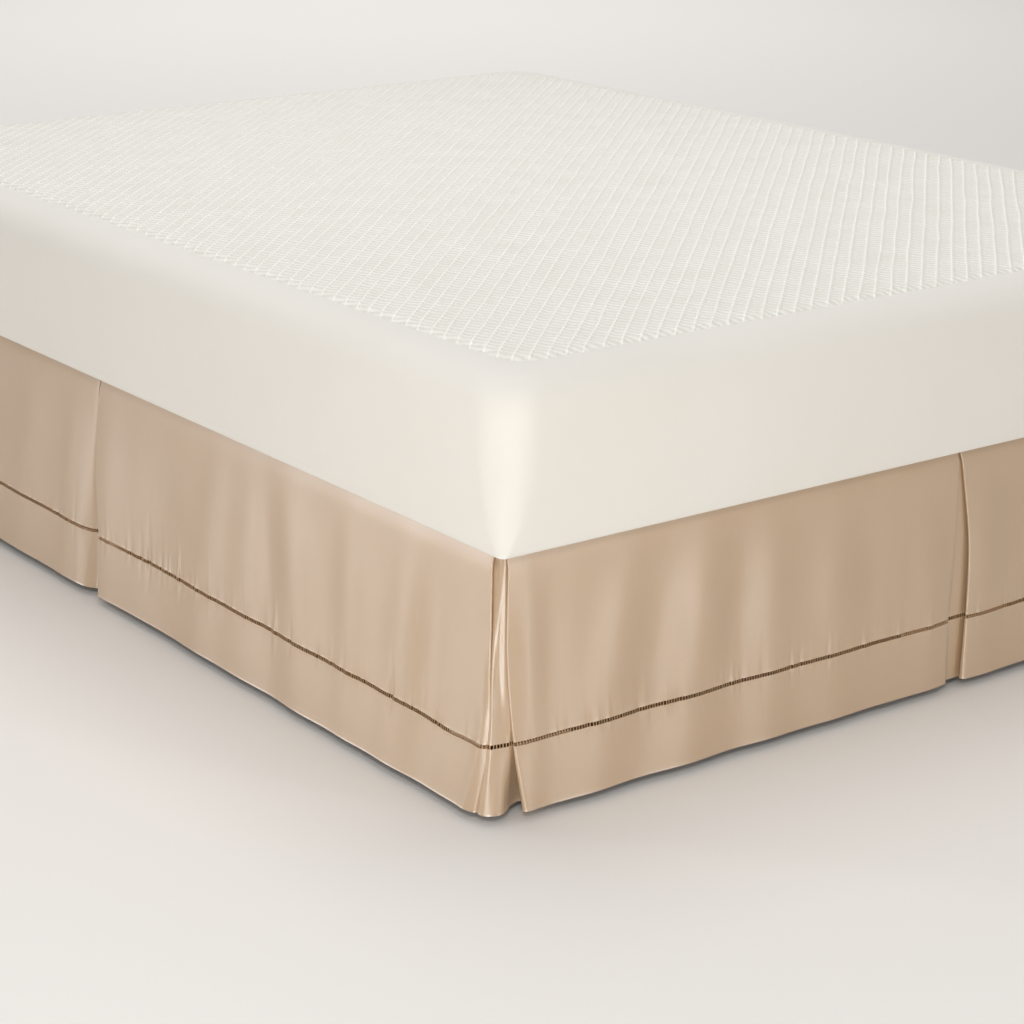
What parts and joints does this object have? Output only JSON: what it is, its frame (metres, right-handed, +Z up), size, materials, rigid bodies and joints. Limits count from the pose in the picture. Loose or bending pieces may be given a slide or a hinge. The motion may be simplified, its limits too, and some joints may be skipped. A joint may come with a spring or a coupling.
{
  "type": "pleated bed skirt on a box bed base with its mattress",
  "caption": "Sateen bed skirt with inverted pleats and a hemstitched hem, hung from a deck cloth between a box base and a mattress.",
  "frame": {"origin": "on the floor under the middle of the bed", "axes": "+X across the bed, +Y along it from the foot end to the head end, +Z up"},
  "size_m": [1.5922, 2.0576, 0.565],
  "materials": {
    "skirt_cloth": "champagne cotton sateen with a soft sheen",
    "deck_cloth": "plain matt cotton",
    "base_cloth": "plain woven upholstery cloth",
    "mattress_cover": "cream knit with a ribbed top",
    "foot_wood": "dark stained, satin"
  },
  "bodies": {
    "root": {"skirt_left_head": "skirt_cloth", "skirt_left_foot": "skirt_cloth", "skirt_foot_left": "skirt_cloth", "skirt_foot_right": "skirt_cloth", "skirt_right_foot": "skirt_cloth", "skirt_right_head": "skirt_cloth", "deck": "deck_cloth", "base": "base_cloth", "mattress": "mattress_cover", "foot_front_left": "foot_wood", "foot_front_right": "foot_wood", "foot_middle_left": "foot_wood", "foot_middle_right": "foot_wood", "foot_back_left": "foot_wood", "foot_back_right": "foot_wood"}
  },
  "joints": []
}
